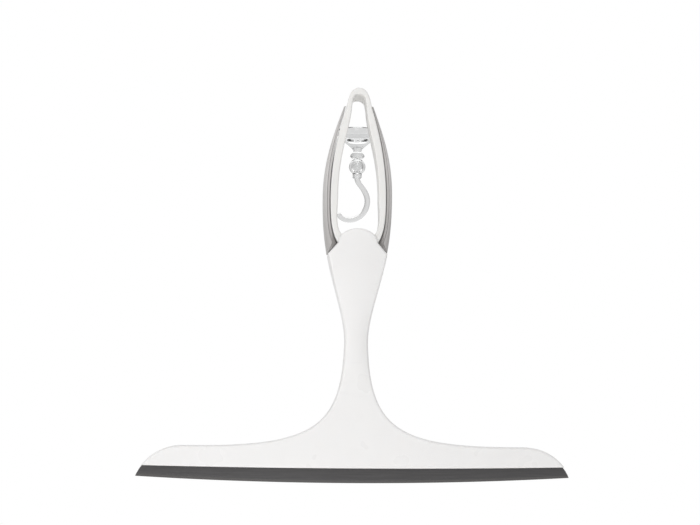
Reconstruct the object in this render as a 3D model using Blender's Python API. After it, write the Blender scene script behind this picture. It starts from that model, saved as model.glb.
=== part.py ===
"""Window squeegee: a T-shaped handle with a leaf-shaped loop, side grips, a rubber blade and a clear hook.

Lengths are metres. X runs along the blade, the front faces -Y and +Z runs up the handle. Heights in the
constants are measured up from the middle of the wiping edge; the origin is the place where the loop hangs,
at the top of its opening.
"""

import math

import bmesh
import bpy
from mathutils import Vector
from mathutils.geometry import interpolate_bezier

# Overall
HANG_HEIGHT = 0.2228
TOP_HEIGHT = 0.2267
GAP = 0.0003
CORNER_SHARE = math.sqrt(0.5)

# Head, the cross-bar that holds the blade
HEAD_TOP = 0.0205
HEAD_HALF_DEPTH = 0.0045
REAR_JAW = 0.0066
END_RADIUS = 0.0275
END_CENTRE = (0.0975, HEAD_TOP - END_RADIUS)
LIP_HEIGHT = 0.0084
LIP_BOW = 0.00115
LIP_HALF = 0.116
LIP_CHAMFER = 0.0009
LIP_CLEARANCE = 0.001
LIP_STATIONS = 16

# Neck and palm: where the curve of the side starts, its two handles, and where it ends
FLARE = ((0.090, HEAD_TOP), (0.022, HEAD_TOP), (0.0079, 0.032), (0.0066, 0.0785))
PALM_SIDE = ((0.0066, 0.0785), (0.0064, 0.0932), (0.0134, 0.1101), (0.0170, 0.1295))
SHOULDER_OUT = (0.0170, 0.1295)
SHOULDER_IN = (0.0114, 0.1358)
DOME_RISE = 0.0082
NECK_HALF_DEPTH = 0.006
PALM_FRONT = 0.0108
PALM_BACK = 0.0092
NECK_RUN = (0.024, 0.066)
PALM_RUN = (0.084, 0.130)
EDGE_RADIUS = 0.0013
EDGE_ROWS = 3
SIDE_STEPS = (16, 12)
CORNER_STEPS = 9
DOME_STEPS = 8
CROWN = 0.0016
CROWN_START = 0.030
CROWN_LINES = (-0.009, -0.003, 0.003, 0.009)
BAND_HEIGHT = 0.006

# Loop ring: the outer and the inner line, each in four curves from the tip down to the hidden foot
RING_HALF_DEPTH = 0.009
RING_EDGE = 0.0009
RING_DRAFT = 0.0008
RING_OUTER = (
    ((0.0, TOP_HEIGHT), (0.0055, TOP_HEIGHT), (0.0063, 0.2198), (0.0076, 0.2145), 8),
    ((0.0076, 0.2145), (0.0120, 0.1998), (0.0160, 0.1826), (0.0160, 0.1619), 13),
    ((0.0160, 0.1619), (0.0160, 0.1500), (0.0153, 0.1416), SHOULDER_IN, 8),
    (SHOULDER_IN, (0.0098, 0.1336), (0.006, 0.1317), (0.0, 0.1317), 5),
)
RING_INNER = (
    ((0.0, HANG_HEIGHT), (0.0035, HANG_HEIGHT), (0.0038, 0.2195), (0.00425, 0.2141), 8),
    ((0.00425, 0.2141), (0.0058, 0.1993), (0.0119, 0.1865), (0.0117, 0.1619), 13),
    ((0.0117, 0.1619), (0.0121, 0.1530), (0.0129, 0.1441), (0.0094, 0.1408), 8),
    ((0.0094, 0.1408), (0.0073, 0.1388), (0.004, 0.1383), (0.0, 0.1383), 5),
)
TONGUE_TOP = 0.1357
TONGUE_BOTTOM = 0.1035
TONGUE_TOP_HALF = 0.0092
TONGUE_BOTTOM_HALF = 0.0052
TONGUE_WAIST = 0.126
TONGUE_FRONT = 0.0045
TONGUE_STEPS = 6
WELL_TOP = 0.1485
WELL_HALF = 0.016
CUTTER_TOP = 0.1585
CUTTER_BACK = 0.030

# Side grips
GRIP_OUTER = (
    ((0.0086, 0.2164), (0.0164, 0.1949), (0.0201, 0.1826), (0.0199, 0.1619), 20),
    ((0.0199, 0.1619), (0.0199, 0.1490), (0.0187, 0.1376), SHOULDER_OUT, 18),
)
GRIP_TOP = 0.2160
GRIP_BOTTOM = 0.1304
GRIP_STEPS = 34
GRIP_FRONT = 0.0074
GRIP_TIP_FRONT = 0.0062
GRIP_BACK = 0.0080
GRIP_FULL_WIDTH = 0.003
GRIP_LAND_SHARE = 0.45
GRIP_ROLL_DEPTH = 0.0045
GRIP_ROLL_STEPS = 5
GRIP_BACK_RADIUS = 0.0015
GRIP_GAP = 0.0004
FACET_START = 0.0150
FACET_LEAST_SHARE = 0.12
FACET_MOST_SHARE = 0.39
FACET_TOP = 0.1485
FACET_RUN = 0.008
FACET_SLOPE = 1.2
SHOULDER_GAP = 0.00042

# Blade
BLADE_INSET = 0.00015
BLADE_ROOT_HALF = 0.0012
BLADE_EDGE_HALF = 0.0006
BLADE_SHOULDER_HALF = 0.0008
BLADE_STEP = 0.0014
BLADE_ROOT_HEIGHT = 0.0074
EDGE_BOW = 0.0035
BEAD_HEIGHT = 0.0140
BEAD_RADIUS = 0.0023
BEAD_NECK = 0.0004
BLADE_STATIONS = 24
CUTTER_REACH = 0.133

# Suction cup and hook, on one upright axis behind the loop
CUP_AXIS = (0.0016, 0.0245)
CUP_RIM_RADIUS = 0.0135
CUP_RIM_HEIGHT = 0.2082
CUP_NECK_HEIGHT = 0.1961
CUP_NECK_RADIUS = 0.0024
CUP_OUTSIDE = ((0.0031, 0.1977), (0.0058, 0.2001), (0.0092, 0.2029), (0.0119, 0.2057), (0.0132, 0.2073))
CUP_INSIDE = ((0.0103, 0.2058), (0.0072, 0.2036), (0.0036, 0.2022))
CUP_FLOOR = 0.2018
CUP_RIM_WIDTH = 0.0012
COLLAR_BOTTOM = 0.1921
COLLAR_OUTSIDE = ((0.0036, COLLAR_BOTTOM), (0.0043, 0.1928), (0.0040, 0.1941), (0.0027, 0.1954))
STUD_BALL_HEIGHT = 0.1868
STUD_BALL_RADIUS = 0.0027
STUD_RADIUS = 0.0017
SOCKET_TOP = 0.1915
SOCKET_BOTTOM = 0.1817
SOCKET_RADIUS = 0.0050
SOCKET_BORE = 0.0031
SOCKET_MOUTH = 0.0023
HOOK_COLLAR_RADIUS = 0.0027
HOOK_COLLAR_BOTTOM = 0.1795
HOOK_CHAMFER = 0.0005
HOOK_SIDES = 20
CUP_SIDES = 28
SOCKET_ARC = (-55.0, 70.0)
SOCKET_STEPS = 7
BORE_END = 130.0
ARM_RADIUS = 0.00165
ARM_TIP_SHARE = 0.55
ARM_ROUTE = (
    ((0.0, HOOK_COLLAR_BOTTOM), (0.0, 0.1765), (0.0040, 0.1742), (0.0058, 0.1688), 7),
    ((0.0058, 0.1688), (0.0078, 0.1630), (0.0040, 0.1545), (-0.0042, 0.1541), 9),
    ((-0.0042, 0.1541), (-0.0075, 0.1540), (-0.0095, 0.1552), (-0.0108, 0.1572), 5),
)


def level(height):
    """Turns a height above the wiping edge into a Z coordinate."""
    return height - HANG_HEIGHT


def curve_points(curves):
    """Points (x, height) along a chain of Bezier curves, without repeats where they join."""
    points = []
    for start, handle_a, handle_b, end, steps in curves:
        knots = [Vector((x, h, 0.0)) for x, h in (start, handle_a, handle_b, end)]
        run = interpolate_bezier(*knots, steps + 1)
        points += [(p.x, p.y) for p in (run[1:] if points else run)]
    return points


def half_width(points, height):
    """The x of a side line, which only rises or only falls, at one height."""
    for (x0, h0), (x1, h1) in zip(points, points[1:]):
        if min(h0, h1) <= height <= max(h0, h1) and h0 != h1:
            return x0 + (x1 - x0) * (height - h0) / (h1 - h0)
    nearest = min(points, key=lambda p: abs(p[1] - height))
    return nearest[0]


def smooth_step(value, low, high):
    """Runs from 0 at low to 1 at high with level ends."""
    t = min(max((value - low) / (high - low), 0.0), 1.0)
    return t * t * (3.0 - 2.0 * t)


def plastic(name, colour, roughness, alpha=1.0):
    """A plain material for one sub-part."""
    material = bpy.data.materials.new(name)
    material.use_nodes = True
    shader = material.node_tree.nodes["Principled BSDF"]
    shader.inputs["Base Color"].default_value = (*colour, 1.0)
    shader.inputs["Roughness"].default_value = roughness
    shader.inputs["Metallic"].default_value = 0.0
    shader.inputs["Alpha"].default_value = alpha
    return material


def add_object(name, bm, material=None):
    """Turns a bmesh into a named object with outward faces."""
    bmesh.ops.recalc_face_normals(bm, faces=bm.faces)
    mesh = bpy.data.meshes.new(name)
    bm.to_mesh(mesh)
    bm.free()
    piece = bpy.data.objects.new(name, mesh)
    bpy.context.scene.collection.objects.link(piece)
    if material:
        mesh.materials.append(material)
        mesh.shade_smooth()
        mesh.set_sharp_from_angle(angle=math.radians(35))
    return piece


def add_cutter(name, bm):
    """A solid that only cuts other pieces."""
    cutter = add_object(name, bm)
    cutter.hide_render = True
    cutter.display_type = "WIRE"
    return cutter


def combine(piece, other, operation):
    """Adds an exact Boolean to a piece."""
    boolean = piece.modifiers.new(other.name, "BOOLEAN")
    boolean.object = other
    boolean.operation = operation
    boolean.solver = "EXACT"


def prism(outline, y_front, y_back):
    """An outline of (x, height) points made solid between two depths."""
    bm = bmesh.new()
    front = [bm.verts.new((x, y_front, level(h))) for x, h in outline]
    face = bm.faces.new(front)
    extruded = bmesh.ops.extrude_face_region(bm, geom=[face])
    moved = [v for v in extruded["geom"] if isinstance(v, bmesh.types.BMVert)]
    bmesh.ops.translate(bm, verts=moved, vec=(0.0, y_back - y_front, 0.0))
    return bm


def loft(sections, closed=False):
    """Skins a row of equal point loops, and caps the ends unless the row closes on itself."""
    bm = bmesh.new()
    loops = [[bm.verts.new(p) for p in section] for section in sections]
    count = len(loops[0])
    pairs = list(zip(loops, loops[1:]))
    if closed:
        pairs.append((loops[-1], loops[0]))
    for low, high in pairs:
        for i in range(count):
            j = (i + 1) % count
            bm.faces.new((low[i], low[j], high[j], high[i]))
    if not closed:
        bm.faces.new(loops[0])
        bm.faces.new(loops[-1])
    return bm


def both_sides(half):
    """Mirrors a half outline that runs from the middle line out and back to it."""
    mirrored = [(-x, h) for x, h in reversed(half) if x > 1e-6]
    return list(half) + mirrored


def side_points():
    """Points of the body's side line, from the head's top edge up to the shoulder."""
    return curve_points(((*FLARE, SIDE_STEPS[0]), (*PALM_SIDE, SIDE_STEPS[1])))


def body_half_outline():
    """Right half of the front view, from the middle of the rear jaw round to the top of the dome."""
    start = math.asin((REAR_JAW - END_CENTRE[1]) / END_RADIUS)
    half = [(0.0, REAR_JAW)]
    for i in range(CORNER_STEPS + 1):
        angle = start + (math.pi / 2 - start) * i / CORNER_STEPS
        x = END_CENTRE[0] + END_RADIUS * math.cos(angle)
        half.append((x, END_CENTRE[1] + END_RADIUS * math.sin(angle)))
    half += side_points()
    for i in range(DOME_STEPS + 1):
        angle = math.pi / 2 * i / DOME_STEPS
        x = SHOULDER_IN[0] * math.cos(angle)
        half.append((x, SHOULDER_IN[1] + DOME_RISE * math.sin(angle)))
    return half


def body_depths(height):
    """Front and back half depth of the body at one height."""
    neck = smooth_step(height, *NECK_RUN)
    palm = smooth_step(height, *PALM_RUN)
    middle = HEAD_HALF_DEPTH + (NECK_HALF_DEPTH - HEAD_HALF_DEPTH) * neck
    front = middle + (PALM_FRONT - NECK_HALF_DEPTH) * palm
    back = middle + (PALM_BACK - NECK_HALF_DEPTH) * palm
    return front, back


def make_body(material):
    """The head, neck and palm as one moulding: a rounded plate drawn out to the depth each height needs."""
    half = body_half_outline()
    plate = HEAD_HALF_DEPTH - EDGE_RADIUS
    bm = prism(both_sides(half), -plate, plate)
    bm.faces.ensure_lookup_table()
    bmesh.ops.recalc_face_normals(bm, faces=bm.faces)
    caps = [f for f in bm.faces if abs(f.normal.y) > 0.9]
    for i in range(EDGE_ROWS):
        a, b = (math.pi / 2 * k / EDGE_ROWS for k in (i, i + 1))
        rise = EDGE_RADIUS * (math.sin(b) - math.sin(a))
        inset = EDGE_RADIUS * (math.cos(a) - math.cos(b))
        for cap in caps:
            bmesh.ops.inset_region(bm, faces=[cap], thickness=inset, depth=rise, use_even_offset=True)
    bands = int((SHOULDER_IN[1] - HEAD_TOP) / BAND_HEIGHT)
    heights = [HEAD_TOP + BAND_HEIGHT * (i + 1) for i in range(bands)]
    cuts = [(Vector((0, 0, level(h))), Vector((0, 0, 1))) for h in heights]
    cuts += [(Vector((x, 0, 0)), Vector((1, 0, 0))) for x in CROWN_LINES]
    for point, normal in cuts:
        everything = bm.verts[:] + bm.edges[:] + bm.faces[:]
        bmesh.ops.bisect_plane(bm, geom=everything, dist=1e-6, plane_co=point, plane_no=normal)
    side = side_points()
    for v in bm.verts:
        height = v.co.z + HANG_HEIGHT
        front, back = body_depths(height)
        level_height = min(max(height, CROWN_START), SHOULDER_OUT[1])
        across = min(abs(v.co.x) / half_width(side, level_height), 1.0)
        crown = CROWN * smooth_step(height, CROWN_START, FLARE[3][1]) * across * across
        if v.co.y < 0:
            v.co.y -= front - HEAD_HALF_DEPTH - crown
        else:
            v.co.y += back - HEAD_HALF_DEPTH - crown
    body = add_object("squeegee_body", bm, material)
    combine(body, make_channel_cutter(), "DIFFERENCE")
    combine(body, make_lip_cutter(), "DIFFERENCE")
    combine(body, make_pocket_cutter(), "DIFFERENCE")
    return body


def key_section(radius, half_slot, bottom, sides=14):
    """A round bead with a straight web hanging below it, as (y, height) points."""
    start = math.asin(half_slot / radius)
    turn = 2 * math.pi - 2 * start
    points = [(-half_slot, bottom), (half_slot, bottom)]
    for i in range(sides + 1):
        angle = -math.pi / 2 + start + turn * i / sides
        points.append((radius * math.cos(angle), BEAD_HEIGHT + radius * math.sin(angle)))
    return points


def make_channel_cutter():
    """The keyhole slot for the blade, right through the head."""
    section = key_section(BEAD_RADIUS + GAP, BLADE_ROOT_HALF + GAP, -REAR_JAW)
    ends = (-CUTTER_REACH, CUTTER_REACH)
    return add_cutter("channel_cutter", loft([[(x, y, level(h)) for y, h in section] for x in ends]))


def lip(x):
    """Height of the front jaw's lower edge, lowest in the middle."""
    return LIP_HEIGHT + LIP_BOW * (x / LIP_HALF) ** 2


def make_lip_cutter():
    """Clears the front jaw below its bowed lower edge and chamfers that edge."""
    face = -HEAD_HALF_DEPTH
    outside = face - LIP_CLEARANCE
    sections = []
    for i in range(LIP_STATIONS + 1):
        x = CUTTER_REACH * (2 * i / LIP_STATIONS - 1)
        top = lip(x)
        profile = (
            (0.0, 0.0),
            (0.0, top),
            (face + LIP_CHAMFER, top),
            (outside, top + LIP_CHAMFER + LIP_CLEARANCE),
            (outside - HEAD_HALF_DEPTH, top + LIP_CHAMFER + LIP_CLEARANCE),
            (outside - HEAD_HALF_DEPTH, 0.0),
        )
        sections.append([(x, y, level(h)) for y, h in profile])
    return add_cutter("lip_cutter", loft(sections))


def tongue_half_outline(grow):
    """Half of the tongue's outline, from the middle of its foot up, grown outwards by a clearance."""
    foot = TONGUE_BOTTOM_HALF + grow
    centre = TONGUE_BOTTOM + TONGUE_BOTTOM_HALF
    half = []
    for i in range(TONGUE_STEPS + 1):
        angle = -math.pi / 2 + math.pi / 2 * i / TONGUE_STEPS
        half.append((foot * math.cos(angle), centre + foot * math.sin(angle)))
    half.append((TONGUE_TOP_HALF + grow, TONGUE_WAIST))
    half.append((TONGUE_TOP_HALF + grow, TONGUE_TOP))
    half.append((0.0, TONGUE_TOP))
    half[0] = (0.0, half[0][1])
    return half


def grown(points, distance):
    """Moves a half line sideways along its normals, away from the middle."""
    result = []
    for i, (x, h) in enumerate(points):
        before = points[max(i - 1, 0)]
        after = points[min(i + 1, len(points) - 1)]
        run = Vector((after[0] - before[0], after[1] - before[1])).normalized()
        result.append((max(x - run.y * distance, 0.0), h + run.x * distance))
    return result


def make_pocket_cutter():
    """The room for the ring's foot: a deep pocket under the dome and a shallower one for the tongue."""
    foot = [p for p in grown(curve_points(RING_OUTER[2:]), GAP) if p[1] < WELL_TOP]
    foot[-1] = (0.0, foot[-1][1])
    half = [(WELL_HALF, CUTTER_TOP), (WELL_HALF, WELL_TOP)] + foot
    well = add_cutter("pocket_well", prism(both_sides(half), -RING_HALF_DEPTH - GAP, CUTTER_BACK))
    tongue = prism(both_sides(tongue_half_outline(GAP)), -TONGUE_FRONT - GAP, CUTTER_BACK)
    cutter = add_cutter("pocket_cutter", tongue)
    combine(cutter, well, "UNION")
    return cutter


def ring_section(outer, inner):
    """One slice through the ring, between a point of its outer line and one of its inner line."""
    start = Vector((outer[0], 0.0, level(outer[1])))
    across = Vector((inner[0], 0.0, level(inner[1]))) - start
    width = across.length
    across.normalize()
    edge = RING_EDGE
    corner = edge * (1 - CORNER_SHARE)
    deep = RING_HALF_DEPTH
    back_width = width - RING_DRAFT * abs(across.x)
    profile = (
        (0.0, edge - deep),
        (corner, corner - deep),
        (edge, -deep),
        (width - edge, -deep),
        (width - corner, corner - deep),
        (width, edge - deep),
        (back_width, deep - edge),
        (back_width - corner, deep - corner),
        (back_width - edge, deep),
        (edge, deep),
        (corner, deep - corner),
        (0.0, deep - edge),
    )
    return [start + across * u + Vector((0.0, y, 0.0)) for u, y in profile]


def make_ring(material):
    """The leaf-shaped ring with the tongue that plugs into the palm."""
    pairs = list(zip(curve_points(RING_OUTER), curve_points(RING_INNER)))
    mirrored = [((-o[0], o[1]), (-i[0], i[1])) for o, i in reversed(pairs[1:-1])]
    sections = [ring_section(outer, inner) for outer, inner in pairs + mirrored]
    ring = add_object("loop_ring", loft(sections, closed=True), material)
    tongue = prism(both_sides(tongue_half_outline(0.0)), -TONGUE_FRONT, RING_HALF_DEPTH - RING_EDGE)
    combine(ring, add_cutter("ring_tongue", tongue), "UNION")
    return ring


def grip_inner(height, ring_line):
    """The x of a grip's inner wall: beside the ring, and lower down beside the sloping shoulder."""
    if height >= SHOULDER_IN[1]:
        return half_width(ring_line, height) + GRIP_GAP
    slope = (SHOULDER_OUT[0] - SHOULDER_IN[0]) / (SHOULDER_IN[1] - SHOULDER_OUT[1])
    return SHOULDER_IN[0] + (SHOULDER_IN[1] - height) * slope + SHOULDER_GAP


def grip_section(height, ring_line, outer_line, side):
    """A level slice through one side grip: a flat land by the ring, then a wide rounded roll outside."""
    inner = grip_inner(height, ring_line)
    outer = half_width(outer_line, height)
    width = outer - inner
    front = -GRIP_TIP_FRONT - (GRIP_FRONT - GRIP_TIP_FRONT) * smooth_step(width, 0.0, GRIP_FULL_WIDTH)
    crest = inner + width * GRIP_LAND_SHARE
    facet = min(max(FACET_START, inner + width * FACET_LEAST_SHARE), inner + width * FACET_MOST_SHARE)
    facet_share = 1 - smooth_step(height, FACET_TOP - FACET_RUN, FACET_TOP)
    drop = FACET_SLOPE * max(facet - inner, 0.0) * facet_share
    roll = outer - crest
    radius = min(GRIP_BACK_RADIUS, width / 3)
    slack = 1 - CORNER_SHARE
    profile = [(inner, GRIP_BACK), (inner, front + drop), (facet, front)]
    for i in range(GRIP_ROLL_STEPS + 1):
        angle = math.pi / 2 * i / GRIP_ROLL_STEPS
        profile.append((crest + roll * math.sin(angle), front + GRIP_ROLL_DEPTH * (1 - math.cos(angle))))
    profile.append((outer, GRIP_BACK - radius))
    profile.append((outer - radius * slack, GRIP_BACK - radius * slack))
    profile.append((outer - radius, GRIP_BACK))
    return [(side * x, y, level(height)) for x, y in profile]


def make_grip(name, side, material):
    """One grey grip from the shoulder up to near the tip, on one side of the loop."""
    ring_line = curve_points(RING_OUTER[:3])
    outer_line = curve_points(GRIP_OUTER)
    rise = GRIP_TOP - GRIP_BOTTOM
    heights = [GRIP_BOTTOM + rise * i / GRIP_STEPS for i in range(GRIP_STEPS + 1)]
    return add_object(name, loft([grip_section(h, ring_line, outer_line, side) for h in heights]), material)


def blade_end(height):
    """The x of the blade's end, which follows the head's round end."""
    return END_CENTRE[0] + math.sqrt((END_RADIUS - BLADE_INSET) ** 2 - (height - END_CENTRE[1]) ** 2)


def blade_section(share):
    """One slice through the blade, share running from -1 to 1 along it; its lower edge follows the bow."""
    edge = EDGE_BOW * share * share
    half = [(BLADE_EDGE_HALF, edge), (BLADE_SHOULDER_HALF, edge + BLADE_STEP)]
    half += [(BLADE_ROOT_HALF, BLADE_ROOT_HEIGHT), (BLADE_ROOT_HALF, BEAD_HEIGHT - BEAD_RADIUS)]
    bead = key_section(BEAD_RADIUS, BLADE_ROOT_HALF, 0.0)[2:]
    section = [(-y, h) for y, h in half]
    section += [(-y, h) for y, h in bead if h > BEAD_HEIGHT - BEAD_RADIUS + BEAD_NECK]
    section += [(y, h) for y, h in reversed(half)]
    return [(share * blade_end(h), y, level(h)) for y, h in section]


def make_blade(material):
    """The rubber blade: a bead in the channel, a tapering web and a thin wiping lip."""
    shares = [2 * i / BLADE_STATIONS - 1 for i in range(BLADE_STATIONS + 1)]
    return add_object("wiper_blade", loft([blade_section(s) for s in shares]), material)


def turned(profile, steps):
    """Spins a closed half profile of (radius, height) points about the hook's upright axis."""
    bm = bmesh.new()
    rim = [bm.verts.new((r, 0.0, level(h))) for r, h in profile]
    edges = [bm.edges.new((a, b)) for a, b in zip(rim, rim[1:])]
    bmesh.ops.spin(
        bm,
        geom=rim + edges,
        cent=(0.0, 0.0, 0.0),
        axis=(0.0, 0.0, 1.0),
        angle=2 * math.pi,
        steps=steps,
        use_merge=True,
    )
    bmesh.ops.remove_doubles(bm, verts=bm.verts, dist=1e-6)
    return bm


def arc_points(centre_height, radius, start, end, steps):
    """Points (radius, height) on an arc about a point of the axis; angles in degrees from straight down."""
    points = []
    for i in range(steps + 1):
        angle = math.radians(start + (end - start) * i / steps)
        points.append((radius * math.sin(angle), centre_height - radius * math.cos(angle)))
    return points


def make_cup(material):
    """The clear cup, rim upwards, with its neck, collar and ball stud below."""
    waist = math.degrees(math.asin(STUD_RADIUS / STUD_BALL_RADIUS))
    ball = arc_points(STUD_BALL_HEIGHT, STUD_BALL_RADIUS, 0.0, 180.0 - waist, 8)
    profile = ball + [
        (STUD_RADIUS, COLLAR_BOTTOM),
        *COLLAR_OUTSIDE,
        (CUP_NECK_RADIUS, CUP_NECK_HEIGHT),
        *CUP_OUTSIDE,
        (CUP_RIM_RADIUS, CUP_RIM_HEIGHT),
        (CUP_RIM_RADIUS - CUP_RIM_WIDTH, CUP_RIM_HEIGHT),
        *CUP_INSIDE,
        (0.0, CUP_FLOOR),
    ]
    profile[0] = (0.0, profile[0][1])
    cup = add_object("suction_cup", turned(profile, CUP_SIDES), material)
    cup.location = (*CUP_AXIS, 0.0)
    return cup


def socket_profile():
    """Half section of the round socket and its collar, from the arm's root round to the bore's floor."""
    middle = (SOCKET_TOP + SOCKET_BOTTOM) / 2
    tall = (SOCKET_TOP - SOCKET_BOTTOM) / 2
    foot = HOOK_COLLAR_BOTTOM
    profile = [(ARM_RADIUS, foot), (HOOK_COLLAR_RADIUS - HOOK_CHAMFER, foot)]
    profile += [(HOOK_COLLAR_RADIUS, foot + HOOK_CHAMFER), (HOOK_COLLAR_RADIUS, SOCKET_BOTTOM)]
    low, high = SOCKET_ARC
    for i in range(1, SOCKET_STEPS + 1):
        angle = math.radians(low + (high - low) * i / SOCKET_STEPS)
        profile.append((SOCKET_RADIUS * math.cos(angle), middle + tall * math.sin(angle)))
    profile += [(SOCKET_MOUTH + HOOK_CHAMFER, SOCKET_TOP), (SOCKET_MOUTH, SOCKET_TOP - HOOK_CHAMFER)]
    bore = arc_points(STUD_BALL_HEIGHT, SOCKET_BORE, 0.0, BORE_END, SOCKET_STEPS)
    profile += list(reversed(bore))
    profile[-1] = (0.0, profile[-1][1])
    return profile


def arm_sections():
    """Rings of points along the arm, each square to its route; the first is the hole in the collar."""
    route = [Vector((x, 0.0, level(h))) for x, h in curve_points(ARM_ROUTE)]
    side = Vector((0.0, 1.0, 0.0))
    sections = []
    for i, point in enumerate(route):
        before = route[i - 1] if i else point + Vector((0.0, 0.0, 1.0)) * (route[0] - route[1]).length
        after = route[min(i + 1, len(route) - 1)]
        across = (after - before).normalized().cross(side)
        if i == 0:
            across = Vector((1.0, 0.0, 0.0))
        radius = ARM_RADIUS * (ARM_TIP_SHARE if i == len(route) - 1 else 1.0)
        turns = [2 * math.pi * k / HOOK_SIDES for k in range(HOOK_SIDES)]
        sections.append([point + radius * (across * math.cos(t) + side * math.sin(t)) for t in turns])
    return sections


def make_hook(material):
    """The clear J-hook in one body: the turned socket, with the round arm drawn on from its collar."""
    bm = turned(socket_profile(), HOOK_SIDES)
    rings = [[bm.verts.new(p) for p in section] for section in arm_sections()]
    for low, high in zip(rings, rings[1:]):
        for i in range(HOOK_SIDES):
            j = (i + 1) % HOOK_SIDES
            bm.faces.new((low[i], low[j], high[j], high[i]))
    bm.faces.new(rings[-1])
    bmesh.ops.remove_doubles(bm, verts=bm.verts, dist=1e-6)
    hook = add_object("hook", bm, material)
    hook.location = (*CUP_AXIS, 0.0)
    return hook


def main():
    """Clears the scene and builds every sub-part."""
    for old in list(bpy.data.objects):
        bpy.data.objects.remove(old)
    white = plastic("white_plastic", (0.86, 0.85, 0.84), 0.35)
    cream = plastic("cream_plastic", (0.80, 0.79, 0.77), 0.40)
    grey = plastic("grey_grip", (0.40, 0.39, 0.38), 0.60)
    rubber = plastic("dark_rubber", (0.080, 0.078, 0.079), 0.55)
    clear = plastic("clear_plastic", (0.92, 0.93, 0.93), 0.08, alpha=0.35)
    make_body(white)
    make_ring(cream)
    make_grip("grip_left", -1, grey)
    make_grip("grip_right", 1, grey)
    make_blade(rubber)
    make_cup(clear)
    make_hook(clear)
    bpy.context.view_layer.update()


main()
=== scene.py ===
# %% [markdown]
# # Looks for a window squeegee
#
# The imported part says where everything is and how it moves. This lesson builds the finished surfaces round
# it: one moulded handle, a leaf-shaped ring, two soft grips, a rubber blade, and a clear cup with its hook.
# Nothing here moves a part. Each new piece stands where its plain part stands and rides on the same body.

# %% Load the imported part
import math

import bmesh
import bpy
from mathutils import Matrix, Vector
from mathutils.geometry import interpolate_bezier


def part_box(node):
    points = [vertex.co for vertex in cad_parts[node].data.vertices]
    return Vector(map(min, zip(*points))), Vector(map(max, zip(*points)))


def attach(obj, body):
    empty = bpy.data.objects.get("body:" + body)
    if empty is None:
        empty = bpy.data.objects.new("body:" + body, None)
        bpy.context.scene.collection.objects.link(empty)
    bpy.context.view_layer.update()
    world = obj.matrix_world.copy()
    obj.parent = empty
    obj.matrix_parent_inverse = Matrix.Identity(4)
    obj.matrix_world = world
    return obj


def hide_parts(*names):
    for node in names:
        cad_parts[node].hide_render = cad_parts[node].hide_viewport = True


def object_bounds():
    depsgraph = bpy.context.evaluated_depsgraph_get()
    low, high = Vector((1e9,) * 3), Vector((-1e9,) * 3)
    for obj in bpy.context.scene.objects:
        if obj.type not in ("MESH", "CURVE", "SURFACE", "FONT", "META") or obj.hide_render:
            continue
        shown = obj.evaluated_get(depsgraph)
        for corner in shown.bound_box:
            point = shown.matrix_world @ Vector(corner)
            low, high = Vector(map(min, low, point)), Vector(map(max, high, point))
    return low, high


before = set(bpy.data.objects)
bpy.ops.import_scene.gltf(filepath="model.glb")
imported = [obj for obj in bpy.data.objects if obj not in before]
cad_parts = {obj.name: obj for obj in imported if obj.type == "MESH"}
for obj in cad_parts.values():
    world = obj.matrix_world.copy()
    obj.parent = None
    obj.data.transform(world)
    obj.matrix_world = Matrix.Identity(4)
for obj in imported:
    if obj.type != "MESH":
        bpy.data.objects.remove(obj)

cad_low, cad_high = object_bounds()

# %% [markdown]
# ## Units and heights
#
# Small plastic goods are drawn in millimetres, so the shapes below are too, and one helper turns them into
# the frame's metres. Heights are counted up from the wiping edge, which is how a maker would measure the
# handle on a bench. The edge's own level is read from the blade's box in the frame.

# %% Heights above the wiping edge
MM = 0.001
edge_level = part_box("wiper_blade")[0].z


def place(x, y, height):
    """A point given in millimetres, with its height above the wiping edge, as a point of the frame."""
    return Vector((x * MM, y * MM, edge_level + height * MM))


top_height = (cad_high.z - edge_level) / MM
print("height over all, mm:", round(top_height, 1))

# %% [markdown]
# ## Helpers for outlines
#
# Moulded handles are drawn as long easy curves. A Bezier curve holds such a line in four points, and a chain
# of them makes a whole outline. Each front view is drawn as its right half, and its mirror image closes it.
# Sampling the curves closely keeps the finished edges smooth at any distance.

# %% Bezier chains and mirrored outlines
def chain(curves):
    """Points (x, height) along a chain of Bezier curves (start, handle, handle, end, steps)."""
    points = []
    for start, handle_a, handle_b, end, steps in curves:
        knots = [Vector((x, h, 0.0)) for x, h in (start, handle_a, handle_b, end)]
        run = interpolate_bezier(*knots, steps + 1)
        points += [(p.x, p.y) for p in (run[1:] if points else run)]
    return points


def mirrored(half):
    """A closed outline from its right half, which starts and ends on the middle line."""
    return half + [(-x, h) for x, h in reversed(half) if x > 1e-4]


def reach(line, height):
    """The x of a side line at one height."""
    for (x0, h0), (x1, h1) in zip(line, line[1:]):
        if min(h0, h1) <= height <= max(h0, h1) and h0 != h1:
            return x0 + (x1 - x0) * (height - h0) / (h1 - h0)
    return min(line, key=lambda p: abs(p[1] - height))[0]


def ease(value, low, high):
    """Runs from 0 at low to 1 at high with level ends."""
    t = min(max((value - low) / (high - low), 0.0), 1.0)
    return t * t * (3.0 - 2.0 * t)


def arc(centre, radius, start, end, steps, squeeze=1.0):
    """Points on an arc, angles in degrees from the first axis; squeeze scales the second axis."""
    angles = [math.radians(start + (end - start) * i / steps) for i in range(steps + 1)]
    return [(centre[0] + radius * math.cos(a), centre[1] + radius * squeeze * math.sin(a)) for a in angles]


# %% [markdown]
# ## Helpers for solids
#
# Three moves make every piece. A plate is an outline given a thickness. A sweep draws one face through a row
# of sections, and suits the grips, the blade and the hook's arm, because their section or their direction
# changes on the way. A turning spins half a profile about an axis. Rims are then rounded with a bevel, as a
# mould would round them, since a sharp edge is what gives a computer model away.

# %% Plate, sweep, turning and rounded rims
def plate(outline, front, back):
    """An outline of (x, height) points made solid between two depths."""
    bm = bmesh.new()
    face = bm.faces.new([bm.verts.new(place(x, front, h)) for x, h in outline])
    thicken(bm, [face], back - front)
    return bm


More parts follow.
